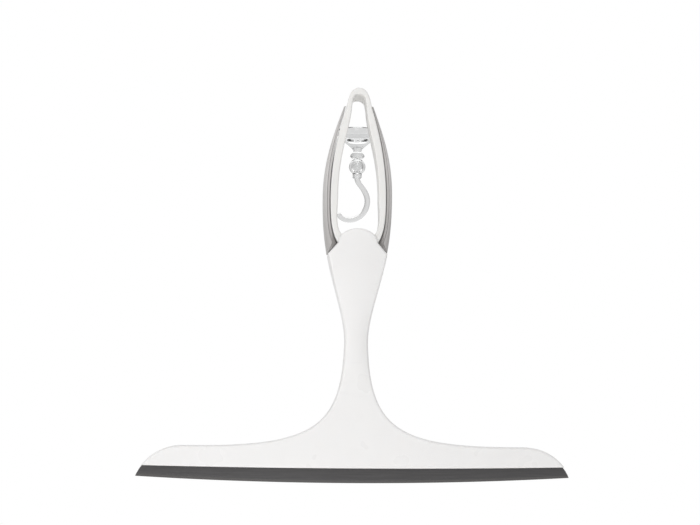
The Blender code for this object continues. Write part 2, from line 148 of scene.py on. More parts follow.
def thicken(bm, faces, depth):
    """Draws faces back along Y into a solid."""
    drawn = bmesh.ops.extrude_face_region(bm, geom=faces)["geom"]
    moved = [v for v in drawn if isinstance(v, bmesh.types.BMVert)]
    bmesh.ops.translate(bm, verts=moved, vec=(0.0, depth * MM, 0.0))
    bmesh.ops.recalc_face_normals(bm, faces=bm.faces)


def round_rims(bm, radius, segments):
    """Rounds every edge where a front or back face meets a side wall."""
    rims = []
    for edge in bm.edges:
        flat = sorted(abs(f.normal.y) for f in edge.link_faces)
        if len(flat) == 2 and flat[0] < 0.5 < 0.9 < flat[1]:
            rims.append(edge)
    bmesh.ops.bevel(
        bm,
        geom=rims,
        offset=radius * MM,
        offset_type="OFFSET",
        segments=segments,
        profile=0.5,
        affect="EDGES",
        material=-1,
    )


def sweep(bm, sections, closed_start=True):
    """Draws a face through a row of matching sections; the last one is the end cap."""
    face = bm.faces.new([bm.verts.new(p) for p in sections[0]])
    for section in sections[1:]:
        face = bmesh.ops.extrude_discrete_faces(bm, faces=[face])["faces"][0]
        for vert, point in zip(face.verts, section):
            vert.co = point
    if closed_start:
        bmesh.ops.holes_fill(bm, edges=bm.edges)


def turning(profile, axis, steps):
    """Spins a half profile of (radius, height) points about an upright axis at (x, y)."""
    bm = bmesh.new()
    verts = [bm.verts.new(place(axis[0] + r, axis[1], h)) for r, h in profile]
    edges = [bm.edges.new(pair) for pair in zip(verts, verts[1:])]
    bmesh.ops.spin(
        bm,
        geom=verts + edges,
        cent=place(axis[0], axis[1], 0.0),
        axis=(0.0, 0.0, 1.0),
        angle=2 * math.pi,
        steps=steps,
        use_merge=True,
    )
    bmesh.ops.remove_doubles(bm, verts=bm.verts, dist=1e-6)
    return bm


# %% [markdown]
# ## From a bmesh to a finished piece
#
# A piece becomes an object, takes its material, rides on the body it is given and hides the plain part it
# stands for. Cuts such as the blade's channel are Boolean modifiers while the piece is made, and are then
# fixed into the mesh, so that what is left is one clean closed skin. The weighted normals keep wide flat
# faces flat right up to their rounded rims.

# %% Objects, cuts and riding
def solid(name, bm):
    """A bmesh as an object in the scene, with outward faces."""
    bmesh.ops.recalc_face_normals(bm, faces=bm.faces)
    mesh = bpy.data.meshes.new(name)
    bm.to_mesh(mesh)
    bm.free()
    piece = bpy.data.objects.new(name, mesh)
    bpy.context.scene.collection.objects.link(piece)
    return piece


def joined(piece, tools):
    """Applies (operation, tool) Booleans to a piece in turn and removes the tools."""
    for operation, tool in tools:
        boolean = piece.modifiers.new(tool.name, "BOOLEAN")
        boolean.operation = operation
        boolean.object = tool
        boolean.solver = "EXACT"
    bpy.context.view_layer.update()
    shaped = piece.evaluated_get(bpy.context.evaluated_depsgraph_get())
    mesh = bpy.data.meshes.new_from_object(shaped)
    piece.modifiers.clear()
    piece.data = mesh
    for _, tool in tools:
        bpy.data.objects.remove(tool)
    return piece


SHARP_ANGLE = 40.0


def finished(piece, material, node, body):
    """Shades a piece, gives it its finish and hands it to the frame."""
    mesh = piece.data
    mesh.materials.clear()
    mesh.materials.append(material)
    mesh.shade_smooth()
    mesh.set_sharp_from_angle(angle=math.radians(SHARP_ANGLE))
    weighted = piece.modifiers.new("flat faces stay flat", "WEIGHTED_NORMAL")
    weighted.keep_sharp = True
    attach(piece, body)
    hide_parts(node)
    size = [round(s / MM, 1) for s in piece.dimensions]
    print(piece.name, "faces:", len(mesh.polygons), "size, mm:", size)


# %% [markdown]
# ## Node helpers
#
# A finish is a small graph of nodes. These helpers keep each graph to a few readable lines: one makes a node
# and sets its sockets, and one makes a group with named inputs and outputs. Patterns read Object coordinates
# in metres, so a noise scale of 2000 means grains about half a millimetre across.

# %% Small helpers for node graphs
def add(tree, kind, settings=None, **sockets):
    """A node with its settings and its input values; a socket as a value is linked."""
    node = tree.nodes.new(kind)
    for key, value in (settings or {}).items():
        setattr(node, key, value)
    for key, value in sockets.items():
        socket = node.inputs[int(key[1:])] if key[1:].isdigit() else node.inputs[key.replace("_", " ")]
        if isinstance(value, bpy.types.NodeSocket):
            tree.links.new(value, socket)
        else:
            socket.default_value = value
    return node


def group(name, inputs, outputs):
    """An empty node group with float inputs (name: default) and float outputs."""
    tree = bpy.data.node_groups.new(name, "ShaderNodeTree")
    tree.interface.new_socket("Vector", in_out="INPUT", socket_type="NodeSocketVector")
    for label, value in inputs.items():
        socket = tree.interface.new_socket(label, in_out="INPUT", socket_type="NodeSocketFloat")
        socket.default_value = value
    for label in outputs:
        tree.interface.new_socket(label, in_out="OUTPUT", socket_type="NodeSocketFloat")
    return tree, tree.nodes.new("NodeGroupInput").outputs, tree.nodes.new("NodeGroupOutput").inputs


def calc(tree, operation, a, b=0.0, c=0.0):
    """One arithmetic step on values or sockets."""
    return add(tree, "ShaderNodeMath", {"operation": operation}, _0=a, _1=b, _2=c).outputs[0]


def spread(tree, value, low, high, to_low, to_high):
    """Maps a value from one range to another, held inside it."""
    node = add(tree, "ShaderNodeMapRange", {"clamp": True}, _0=value, _1=low, _2=high, _3=to_low, _4=to_high)
    return node.outputs[0]


def blend_colours(tree, factor, a, b):
    """Mixes two colours by a factor."""
    node = tree.nodes.new("ShaderNodeMix")
    node.data_type = "RGBA"
    for socket, value in ((node.inputs[0], factor), (node.inputs[6], a), (node.inputs[7], b)):
        if isinstance(value, bpy.types.NodeSocket):
            tree.links.new(value, socket)
        else:
            socket.default_value = value
    return node.outputs[2]


# %% [markdown]
# ## Effects that several finishes share
#
# Moulded plastic is never perfectly even. The tool's spark-worn steel leaves a fine grain, the melt cools
# with broad faint waves, and handling adds hairline scuffs. Each effect is one group with its own dials, so
# every finish that needs it can use it at its own scale.

# %% Grain left by the mould
def make_grain():
    """Fine grain and broad waves: Height for a bump, Shade for colour and gloss."""
    tree, given, out = group("mould_grain", {"Grain Scale": 2200.0, "Wave Scale": 60.0}, ("Height", "Shade"))
    fine = add(tree, "ShaderNodeTexNoise", Vector=given["Vector"], Scale=given["Grain Scale"], Detail=3.0)
    wave = add(tree, "ShaderNodeTexNoise", Vector=given["Vector"], Scale=given["Wave Scale"], Detail=2.0)
    height = calc(tree, "MULTIPLY_ADD", wave.outputs[0], 2.0, fine.outputs[0])
    tree.links.new(height, out["Height"])
    tree.links.new(spread(tree, wave.outputs[0], 0.3, 0.7, 0.0, 1.0), out["Shade"])
    return tree


# %% Hairline scuffs from handling
def make_scuffs():
    """Sparse thin lines in two leaning directions, broken up by a slow noise."""
    tree, given, out = group("handling_scuffs", {"Line Scale": 220.0, "Amount": 0.5}, ("Mask",))
    patches = add(tree, "ShaderNodeTexNoise", Vector=given["Vector"], Scale=45.0, Detail=3.0)
    lines = []
    for lean in (35.0, -50.0):
        turned = add(
            tree,
            "ShaderNodeMapping",
            Vector=given["Vector"],
            Rotation=(0.0, math.radians(lean), 0.0),
            Scale=(0.06, 1.0, 1.0),
        )
        stretched = turned.outputs[0]
        noise = add(tree, "ShaderNodeTexNoise", Vector=stretched, Scale=given["Line Scale"], Detail=6.0)
        lines.append(spread(tree, noise.outputs[0], 0.66, 0.70, 0.0, 1.0))
    both = calc(tree, "MAXIMUM", lines[0], lines[1])
    broken = calc(tree, "MULTIPLY", both, spread(tree, patches.outputs[0], 0.45, 0.7, 0.0, 1.0))
    tree.links.new(calc(tree, "MULTIPLY", broken, given["Amount"]), out["Mask"])
    return tree


grain_group = make_grain()
scuff_group = make_scuffs()
print("shared effects:", grain_group.name, scuff_group.name)


# %% [markdown]
# ## Starting a finish
#
# Every finish begins with the same things: a material with nodes, its Principled shader, and the Object
# coordinates that its patterns read. Small helpers do that, place a shared effect and feed a bump, so that
# each finish below is only its own colours and numbers.

# %% Starting a material
def start(name):
    """A material with its node tree, its Principled shader and the Object coordinates socket."""
    material = bpy.data.materials.new(name)
    material.use_nodes = True
    tree = material.node_tree
    coords = tree.nodes.new("ShaderNodeTexCoord").outputs["Object"]
    return material, tree, tree.nodes["Principled BSDF"], coords


def use_group(tree, source, vector, **sockets):
    """Places a shared effect in a material."""
    return add(tree, "ShaderNodeGroup", {"node_tree": source}, Vector=vector, **sockets).outputs


def bump(tree, shader, height, distance):
    """Feeds a height, in parts of a distance in metres, to the shader's normal."""
    node = add(tree, "ShaderNodeBump", Strength=1.0, Distance=distance, Height=height)
    tree.links.new(node.outputs[0], shader.inputs["Normal"])


# %% [markdown]
# ## The hard plastics
#
# The handle is a milky white polypropylene, a little glossy, with light soaking in slightly at thin edges.
# The ring is a warmer white. Both share the mould grain and the scuffs, and differ in tone and gloss, so one
# function makes the two.

# %% White and cream plastic
def moulded_plastic(name, light, shaded, gloss, grain):
    """A moulded plastic of two tones, with a roughness range (low, high) and a grain depth in metres."""
    material, tree, shader, coords = start(name)
    surface = use_group(tree, grain_group, coords)
    scuffs = use_group(tree, scuff_group, coords, Amount=0.5)["Mask"]
    tone = blend_colours(tree, surface["Shade"], (*light, 1.0), (*shaded, 1.0))
    worn = blend_colours(tree, scuffs, tone, (*[c * 0.93 for c in shaded], 1.0))
    tree.links.new(worn, shader.inputs["Base Color"])
    rough = spread(tree, surface["Shade"], 0.0, 1.0, *gloss)
    tree.links.new(calc(tree, "MULTIPLY_ADD", scuffs, 0.18, rough), shader.inputs["Roughness"])
    bump(tree, shader, surface["Height"], grain)
    shader.inputs["IOR"].default_value = 1.49
    shader.inputs["Subsurface Weight"].default_value = 0.15
    shader.inputs["Subsurface Radius"].default_value = (1.0, 0.95, 0.9)
    shader.inputs["Subsurface Scale"].default_value = 0.0015
    return material


white_plastic = moulded_plastic(
    "white_plastic",
    light=(0.872, 0.864, 0.857),
    shaded=(0.862, 0.853, 0.846),
    gloss=(0.27, 0.31),
    grain=3e-6,
)
cream_plastic = moulded_plastic(
    "cream_plastic",
    light=(0.838, 0.830, 0.812),
    shaded=(0.824, 0.815, 0.796),
    gloss=(0.34, 0.40),
    grain=5e-6,
)
print("hard finishes:", white_plastic.name, cream_plastic.name)


# %% [markdown]
# ## The soft grips and the rubber
#
# A grip of soft rubber has a matt, slightly velvety skin. Its colour is painted paler towards the top, as
# painted light, and darker down in its crease and on its walls, as painted shade. The blade's rubber is
# extruded, so its marks run along its length, and its wiping lip carries a painted highlight. The crease and
# the wiping lip follow the surface, so each piece carries its own attribute for them: the crest value on the
# grips, the lip value on the blade.

# %% Grey soft-touch grip
def soft_grip():
    """Grey grip rubber with painted shade in the crease and a painted lighter top: the attribute runs from 0
    in the crease to 1 on the roll.
    """
    material, tree, shader, coords = start("grey_grip")
    surface = use_group(tree, grain_group, coords, Grain_Scale=3200.0, Wave_Scale=90.0)
    # Painted shade: this per-point value darkens the crease and the walls of the grip towards the deep grey.
    crest_shade = add(tree, "ShaderNodeAttribute", {"attribute_name": "crest_shade"}).outputs["Fac"]
    deep = (0.235, 0.222, 0.216, 1.0)
    fresh = (0.455, 0.440, 0.430, 1.0)
    # Painted light: the grip's colour grows paler towards its top.
    painted_lit_top = (0.70, 0.685, 0.675, 1.0)
    cloud = (0.36, 0.345, 0.335, 1.0)
    # Height up the grip drives the painted lighter top.
    along = add(tree, "ShaderNodeSeparateXYZ", Vector=coords).outputs["Z"]
    skin = blend_colours(tree, spread(tree, along, -0.085, -0.045, 0.0, 0.75), fresh, painted_lit_top)
    tone = blend_colours(tree, crest_shade, deep, skin)
    cloudy = blend_colours(tree, calc(tree, "MULTIPLY", surface["Shade"], 0.15), tone, cloud)
    tree.links.new(cloudy, shader.inputs["Base Color"])
    tree.links.new(spread(tree, surface["Shade"], 0.0, 1.0, 0.50, 0.62), shader.inputs["Roughness"])
    bump(tree, shader, surface["Height"], 14e-6)
    shader.inputs["Sheen Weight"].default_value = 0.12
    shader.inputs["Sheen Roughness"].default_value = 0.4
    return material


# %% Dark extruded rubber
def extruded_rubber():
    """Dark rubber with streaks along its length and a painted highlight on the wiping lip, marked by an
    attribute.
    """
    material, tree, shader, coords = start("dark_rubber")
    drawn = add(tree, "ShaderNodeMapping", Vector=coords, Scale=(0.02, 1.0, 1.0)).outputs[0]
    streaks = add(tree, "ShaderNodeTexNoise", Vector=drawn, Scale=2600.0, Detail=4.0).outputs[0]
    surface = use_group(tree, grain_group, coords, Grain_Scale=4200.0, Wave_Scale=40.0)
    lip = add(tree, "ShaderNodeAttribute", {"attribute_name": "lip"}).outputs["Fac"]
    dark = (0.048, 0.046, 0.047, 1.0)
    drawn_out = (0.066, 0.063, 0.064, 1.0)
    # Painted highlight: the wiping lip is painted paler than the rest of the blade.
    painted_lip_highlight = (0.080, 0.077, 0.075, 1.0)
    streaked = blend_colours(tree, spread(tree, streaks, 0.35, 0.7, 0.0, 1.0), dark, drawn_out)
    pale = blend_colours(tree, lip, streaked, painted_lip_highlight)
    tree.links.new(pale, shader.inputs["Base Color"])
    rough = spread(tree, surface["Shade"], 0.0, 1.0, 0.42, 0.54)
    tree.links.new(calc(tree, "MULTIPLY_ADD", lip, 0.08, rough), shader.inputs["Roughness"])
    marks = calc(tree, "MULTIPLY_ADD", streaks, 3.0, surface["Height"])
    bump(tree, shader, marks, 5e-6)
    return material


grey_grip = soft_grip()
dark_rubber = extruded_rubber()
print("soft finishes:", grey_grip.name, dark_rubber.name)


# %% [markdown]
# ## The clear plastics
#
# The cup is soft clear vinyl and the hook is hard clear acrylic. Clear plastic shows itself by its bright
# and dark edges, so it has to be a real glass-like shader on a closed solid. The faint haze and scuffs that
# every handled clear part has go into the roughness.

# %% Clear cup and clear hook
def clear_plastic(name, tint, ior, haze):
    """A see-through plastic with a roughness range (low, high)."""
    material, tree, shader, coords = start(name)
    surface = use_group(tree, grain_group, coords, Grain_Scale=900.0, Wave_Scale=120.0)
    scuffs = use_group(tree, scuff_group, coords, Line_Scale=500.0, Amount=0.6)["Mask"]
    rough = spread(tree, surface["Shade"], 0.0, 1.0, *haze)
    tree.links.new(calc(tree, "MULTIPLY_ADD", scuffs, 0.15, rough), shader.inputs["Roughness"])
    bump(tree, shader, surface["Height"], 6e-6)
    shade = blend_colours(tree, surface["Shade"], (*tint, 1.0), (*[c * 0.98 for c in tint], 1.0))
    tree.links.new(shade, shader.inputs["Base Color"])
    shader.inputs["Transmission Weight"].default_value = 1.0
    shader.inputs["IOR"].default_value = ior
    return material


clear_soft = clear_plastic("clear_soft", (0.95, 0.955, 0.955), 1.42, (0.03, 0.10))
clear_hard = clear_plastic("clear_hard", (0.97, 0.972, 0.972), 1.49, (0.01, 0.04))
print("clear finishes:", clear_soft.name, clear_hard.name)

# %% [markdown]
# ## The handle: outline
#
# Head, neck and palm are one injection moulding, about 20 mm thick at the palm and a little under half of
# that at the head. Its front view carries the design, so it starts as that outline: a long bar with rounded
# ends, flared up into a thin neck, and a palm that widens to two shoulders with a shallow dome between.

# %% Outline of the handle
HEAD_TOP = 20.5
HEAD_HALF_DEPTH = 4.5
REAR_JAW = 6.6
END_RADIUS = 27.5
END_CENTRE = (97.5, HEAD_TOP - END_RADIUS)
RIM_RADIUS = 1.3
FLARE = ((90.0, HEAD_TOP), (22.0, HEAD_TOP), (7.9, 32.0), (6.6, 78.5))
PALM_SIDE = ((6.6, 78.5), (6.4, 93.2), (13.4, 110.1), (17.0, 129.5))
SHOULDER_OUT = (17.0, 129.5)
SHOULDER_IN = (11.4, 135.8)
DOME_RISE = 8.2
side_line = chain(((*FLARE, 60), (*PALM_SIDE, 36)))


def handle_outline():
    """Right half of the front view, from the middle of the rear jaw round to the top of the dome."""
    jaw_angle = math.degrees(math.asin((REAR_JAW - END_CENTRE[1]) / END_RADIUS))
    end = arc(END_CENTRE, END_RADIUS, jaw_angle, 90.0, 26)
    dome = arc((0.0, SHOULDER_IN[1]), SHOULDER_IN[0], 0.0, 90.0, 22, DOME_RISE / SHOULDER_IN[0])
    dome[-1] = (0.0, dome[-1][1])
    return [(0.0, REAR_JAW)] + end + side_line + dome


print("handle outline points:", len(handle_outline()))

# %% [markdown]
# ## The handle: thickness and crown
#
# A flat plate with rounded rims is right for the head, but the neck and palm swell towards the hand and have
# a gently crowned face. Planes cut the plate into a fine grid first, and then each point is moved in depth
# by how high it stands and how near it is to the side. That gives a true curved surface, not a shading
# trick, and the rounded rim travels with it unchanged.

# %% Swell the plate into the handle
NECK_HALF_DEPTH = 6.0
PALM_FRONT = 10.8
PALM_BACK = 9.2
CROWN = 1.6
CROWN_START = 30.0
NECK_RUN = (24.0, 66.0)
PALM_RUN = (84.0, 130.0)
GRID = 1.6


def cut_grid(bm, pitch):
    """Cuts a plate with evenly spaced upright and level planes."""
    low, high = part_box("squeegee_body")
    cuts = []
    for axis, normal in ((0, Vector((1, 0, 0))), (2, Vector((0, 0, 1)))):
        count = int((high[axis] - low[axis]) / (pitch * MM))
        middle = (high[axis] + low[axis]) / 2
        cuts += [(normal * (middle + (i - count / 2) * pitch * MM), normal) for i in range(count + 1)]
    for point, normal in cuts:
        everything = bm.verts[:] + bm.edges[:] + bm.faces[:]
        bmesh.ops.bisect_plane(bm, geom=everything, dist=1e-7, plane_co=point, plane_no=normal)
    print("grid cuts:", len(cuts))


def swell(bm):
    """Moves each point of the plate out to the handle's depth at its height, less the crown at its sides."""
    for vert in bm.verts:
        height = (vert.co.z - edge_level) / MM
        neck = ease(height, *NECK_RUN)
        palm = ease(height, *PALM_RUN)
        middle = (NECK_HALF_DEPTH - HEAD_HALF_DEPTH) * neck
        width = reach(side_line, min(max(height, CROWN_START), SHOULDER_OUT[1]))
        across = min(abs(vert.co.x) / MM / width, 1.0)
        crown = CROWN * ease(height, CROWN_START, FLARE[3][1]) * across * across
        if vert.co.y < 0:
            vert.co.y -= (middle + (PALM_FRONT - NECK_HALF_DEPTH) * palm - crown) * MM
        else:
            vert.co.y += (middle + (PALM_BACK - NECK_HALF_DEPTH) * palm - crown) * MM


# %% [markdown]
# ## The handle: channel, lip and pocket
#
# Three cuts finish the moulding. The blade's bead slides in a keyhole channel that runs through the head and
# opens at both ends. The front jaw's lower edge is bowed and has a small rounded lip. Behind the dome a
# pocket takes the foot of the ring, so that the dome shows as a lid in front of it.

# %% Cutting tools for the handle
GAP = 0.3
BLADE_ROOT_HALF = 1.2
BEAD_HEIGHT = 14.0
BEAD_RADIUS = 2.3
LIP_HEIGHT = 8.4
LIP_BOW = 1.15
LIP_HALF = 116.0
LIP_RADIUS = 0.9
LIP_STATIONS = 48
TOOL_CLEAR = 6.0
TOOL_FOOT = -5.0
HEAD_REACH = 133.0


def keyhole(radius, half_slot, bottom, steps):
    """A round bead over a straight web, as (y, height) points."""
    lean = math.degrees(math.asin(half_slot / radius))
    bead = arc((0.0, BEAD_HEIGHT), radius, lean - 90.0, 270.0 - lean, steps)
    return [(-half_slot, bottom), (half_slot, bottom)] + bead


def channel_tool():
    """The keyhole channel, longer than the head."""
    section = keyhole(BEAD_RADIUS + GAP, BLADE_ROOT_HALF + GAP, TOOL_FOOT, 40)
    bm = bmesh.new()
    sweep(bm, [[place(x, y, h) for y, h in section] for x in (-HEAD_REACH, HEAD_REACH)])
    return solid("channel_tool", bm)


def lip_tool():
    """Clears the front jaw below its bowed lower edge and rounds that edge."""
    front = -HEAD_HALF_DEPTH
    sections = []
    for i in range(LIP_STATIONS + 1):
        x = HEAD_REACH * (2 * i / LIP_STATIONS - 1)
        top = LIP_HEIGHT + LIP_BOW * (x / LIP_HALF) ** 2
        rounding = arc((front + LIP_RADIUS, top + LIP_RADIUS), LIP_RADIUS, 270.0, 180.0, 6)
        over = top + LIP_RADIUS
        outside = front - TOOL_CLEAR
        profile = [(0.0, 0.0), (0.0, top), *rounding, (outside, over), (outside, 0.0)]
        sections.append([place(x, y, h) for y, h in profile])
    bm = bmesh.new()
    sweep(bm, sections)
    return solid("lip_tool", bm)


# %% [markdown]
# ## The ring's outline, and the pocket it sits in
#
# The ring is a leaf drawn with two lines, an outer and an inner one. Its foot and a tongue below it plug
# into the palm, so the pocket is the same outline grown by a moulding clearance. Drawing both from the same
# curves keeps the fit true.

# %% Ring lines and pocket tools
hang_height = -edge_level / MM
RING_OUTER = (
    ((0.0, top_height), (5.5, top_height), (6.3, 219.8), (7.6, 214.5), 18),
    ((7.6, 214.5), (12.0, 199.8), (16.0, 182.6), (16.0, 161.9), 34),
    ((16.0, 161.9), (16.0, 150.0), (15.3, 141.6), SHOULDER_IN, 18),
    (SHOULDER_IN, (9.8, 133.6), (6.0, 131.7), (0.0, 131.7), 10),
)
RING_INNER = (
    ((0.0, hang_height), (3.5, hang_height), (3.8, 219.5), (4.25, 214.1), 18),
    ((4.25, 214.1), (5.8, 199.3), (11.9, 186.5), (11.7, 161.9), 34),
    ((11.7, 161.9), (12.1, 153.0), (12.9, 144.1), (9.4, 140.8), 18),
    ((9.4, 140.8), (7.3, 138.8), (4.0, 138.3), (0.0, 138.3), 10),
)
RING_HALF_DEPTH = 9.0
RING_RIM = 0.9
RING_DRAFT = 0.8
TONGUE_TOP = 135.7
TONGUE_FOOT = 103.5
TONGUE_HALF = (5.2, 9.2)
TONGUE_WAIST = 126.0
TONGUE_FRONT = 4.5
WELL_TOP = 148.5
WELL_HALF = 16.0
WELL_RISE = 10.0
WELL_BACK = 30.0


def grown(line, distance):
    """Moves a side line outwards along its normals."""
    result = []
    for i, (x, h) in enumerate(line):
        before, after = line[max(i - 1, 0)], line[min(i + 1, len(line) - 1)]
        run = Vector((after[0] - before[0], after[1] - before[1])).normalized()
        result.append((max(x - run.y * distance, 0.0), h + run.x * distance))
    return result


def tongue_outline(grow):
    """Right half of the tongue, from the middle of its rounded foot up."""
    foot = arc((0.0, TONGUE_FOOT + TONGUE_HALF[0]), TONGUE_HALF[0] + grow, -90.0, 0.0, 16)
    foot[0] = (0.0, foot[0][1])
    side = TONGUE_HALF[1] + grow
    return foot + [(side, TONGUE_WAIST), (side, TONGUE_TOP), (0.0, TONGUE_TOP)]


def pocket_tools():
    """The well for the ring's foot and the slot for its tongue."""
    foot = [p for p in grown(chain(RING_OUTER[2:]), GAP) if p[1] < WELL_TOP]
    foot[-1] = (0.0, foot[-1][1])
    over = WELL_TOP + WELL_RISE
    half = [(0.0, over), (WELL_HALF, over), (WELL_HALF, WELL_TOP)] + foot
    well = solid("well_tool", plate(mirrored(half), -RING_HALF_DEPTH - GAP, WELL_BACK))
    slot = solid("tongue_tool", plate(mirrored(tongue_outline(GAP)), -TONGUE_FRONT - GAP, WELL_BACK))
    return well, slot


bores = [round(2 * (half + GAP), 1) for half in (BLADE_ROOT_HALF, BEAD_RADIUS)]
print("blade's slot and bead bore, mm:", bores)
print("ring from, to, mm above the edge:", RING_OUTER[-1][3][1], round(top_height, 1))

# %% [markdown]
# ## The handle: putting it together
#
# The order matters. The rims are rounded while the plate is still flat, because a bevel is cleanest there.
# The grid and the swell then turn the plate into the handle, and the cuts come last, so that their walls are
# straight and their edges crisp.

# %% Build the handle
def make_handle():
    """The white moulding of head, neck and palm."""
    bm = plate(mirrored(handle_outline()), -HEAD_HALF_DEPTH, HEAD_HALF_DEPTH)
    round_rims(bm, RIM_RADIUS, 6)
    cut_grid(bm, GRID)
    swell(bm)
    well, slot = pocket_tools()
    cuts = [("DIFFERENCE", tool) for tool in (channel_tool(), lip_tool(), well, slot)]
    handle = joined(solid("handle_moulding", bm), cuts)
    finished(handle, white_plastic, "squeegee_body", "squeegee")


make_handle()

# %% [markdown]
# ## The ring
#
# Two outlines bridged together make a flat leaf-shaped band. It is drawn back to its depth, its inner wall
# is given the slight draft that lets a moulding leave its mould, and all four rims are rounded. That is the
# ring, open in the middle so that the tool can hang from a peg. Its tongue is added with a union.

# %% Build the ring
LOOP_CENTRE = place(0.0, 0.0, 170.0)


def wall_faces(vert):
    """The side walls that meet at a point, without the front and back faces."""
    return [f for f in vert.link_faces if abs(f.normal.y) < 0.5]


def draft_inside(bm):
    """Gives the inner wall its moulding draft: at the back it stands further out from the middle."""
    for vert in bm.verts:
        walls = wall_faces(vert)
        if vert.co.y > 0 and all((f.calc_center_median() - LOOP_CENTRE).dot(f.normal) < 0 for f in walls):
            outward = sum((f.normal for f in walls), Vector()).normalized()
            vert.co.x -= RING_DRAFT * MM * outward.x * abs(outward.x)


def make_ring():
    """The cream leaf-shaped ring with its tongue."""
    bm = bmesh.new()
    edges = []
    for line in (chain(RING_OUTER), chain(RING_INNER)):
        line[-1] = (0.0, line[-1][1])
        verts = [bm.verts.new(place(x, -RING_HALF_DEPTH, h)) for x, h in mirrored(line)]
        edges += [bm.edges.new((a, b)) for a, b in zip(verts, verts[1:] + verts[:1])]
    faces = bmesh.ops.bridge_loops(bm, edges=edges)["faces"]
    thicken(bm, faces, 2 * RING_HALF_DEPTH)
    draft_inside(bm)
    round_rims(bm, RING_RIM, 5)
    tongue = plate(mirrored(tongue_outline(0.0)), -TONGUE_FRONT, RING_HALF_DEPTH - RING_RIM)
    ring = joined(solid("loop_moulding", bm), [("UNION", solid("tongue", tongue))])
    finished(ring, cream_plastic, "loop_ring", "squeegee")


make_ring()

# %% [markdown]
# ## The side grips
#
# Each grip is a strip of soft rubber that wraps the outside of the ring from the shoulder to near the tip.
# Its section changes all the way up: a flat land against the ring, a fine crease, and a wide roll outside.
# Beside the shoulder the land slopes back towards the middle in a slanted facet. A section is worked out at
# each height and one face is swept through them all. Towards the narrow tip the facet, the crease and the
# rounded corners are held to a share of the width, so that they don't outgrow it.

# %% Section of a grip
GRIP_OUTER = (
    ((8.6, 216.4), (16.4, 194.9), (20.1, 182.6), (19.9, 161.9), 60),
    ((19.9, 161.9), (19.9, 149.0), (18.7, 137.6), SHOULDER_OUT, 54),
)
GRIP_TOP = 216.0
GRIP_BOTTOM = 130.4
GRIP_STEPS = 130
GRIP_FRONT = 7.4
GRIP_TIP_FRONT = 6.2
GRIP_BACK = 8.0
LAND_SHARE = 0.45
ROLL_DEPTH = 4.5
BACK_RADIUS = 1.5
TAPER_WIDTH = 3.0
CREASE_WIDTH = 0.32
CREASE_DEPTH = 0.35
INNER_EDGE = 0.3
EDGE_SHARE = 1 / 12
SUNK_SHARE = 1 / 8
FACET_LEAST_SHARE = 1 / 8
FACET_REST_SHARE = 1 / 16
CORNER_SHARE = 1 / 3
FACET_START = 15.0
FACET_TOP = 148.5
FACET_RUN = 8.0
FACET_SLOPE = 1.2
RING_GAP = 0.4
SHOULDER_GAP = 0.42
ring_side = chain(RING_OUTER[:3])
grip_side = chain(GRIP_OUTER)
print("grip's height, mm:", round(GRIP_TOP - GRIP_BOTTOM, 1))


def grip_inner(height):
    """The x of the grip's inner wall, beside the ring and then beside the sloping shoulder."""
    if height >= SHOULDER_IN[1]:
        return reach(ring_side, height) + RING_GAP
    slope = (SHOULDER_OUT[0] - SHOULDER_IN[0]) / (SHOULDER_IN[1] - SHOULDER_OUT[1])
    return SHOULDER_IN[0] + (SHOULDER_IN[1] - height) * slope + SHOULDER_GAP


def grip_land(inner, width, front, height):
    """The front face of a slice beside the ring: back corner, softened edge, facet, land and crease."""
    top = inner + width * LAND_SHARE
    facet = min(max(FACET_START, inner + width * FACET_LEAST_SHARE), top - width * FACET_REST_SHARE)
    drop = FACET_SLOPE * max(facet - inner, 0.0) * (1.0 - ease(height, FACET_TOP - FACET_RUN, FACET_TOP))
    edge = min(INNER_EDGE, width * EDGE_SHARE)
    fold = min(CREASE_WIDTH, width * EDGE_SHARE)
    sunk = front + min(CREASE_DEPTH, width * SUNK_SHARE)
    slope = drop / max(facet - inner, edge)
    # The third value of each point is its painted shade, lowest down in the crease.
    return [
        (inner, GRIP_BACK, 0.5),
        (inner, front + drop + edge, 0.4),
        (inner + edge * 0.3, front + drop + edge * 0.3, 0.6),
        (inner + edge, front + drop - slope * edge, 0.8),
        (max(facet, inner + edge * 1.2), front, 0.8),
        (top - fold, front, 0.8),
        (top - fold * 0.5, sunk, 0.0),
        (top, front, 0.9),
    ]


def grip_section(height):
    """A level slice as (x, y, shade) points for painted shade: 1 on the roll, lower on the walls and 0 down
    in the crease.
    """
    inner, outer = grip_inner(height), reach(grip_side, height)
    width = outer - inner
    front = -GRIP_TIP_FRONT - (GRIP_FRONT - GRIP_TIP_FRONT) * ease(width, 0.0, TAPER_WIDTH)
    points = grip_land(inner, width, front, height)
    top = points[-1][0]
    for across, deep in arc((0.0, 1.0), 1.0, 270.0, 360.0, 14)[1:]:
        points.append((top + across * (outer - top), front + deep * ROLL_DEPTH, 1.0))
    radius = min(BACK_RADIUS, width * CORNER_SHARE)
    corner = arc((outer - radius, GRIP_BACK - radius), radius, 0.0, 90.0, 9)
    return points + [(x, y, 0.85) for x, y in corner]


# %% [markdown]
# ## The side grips: sweeping them
#
# Both grips come from the same sections, and the left one takes them mirrored. Each point also stores its
# painted shade, from 0 down in the crease to 1 on the roll, so that the material darkens the crease wherever
# it runs.

# %% Build the grips
def mark(piece, name, values):
    """Stores one number per point of a piece for its material to read."""
    attribute = piece.data.attributes.new(name, "FLOAT", "POINT")
    attribute.data.foreach_set("value", values)


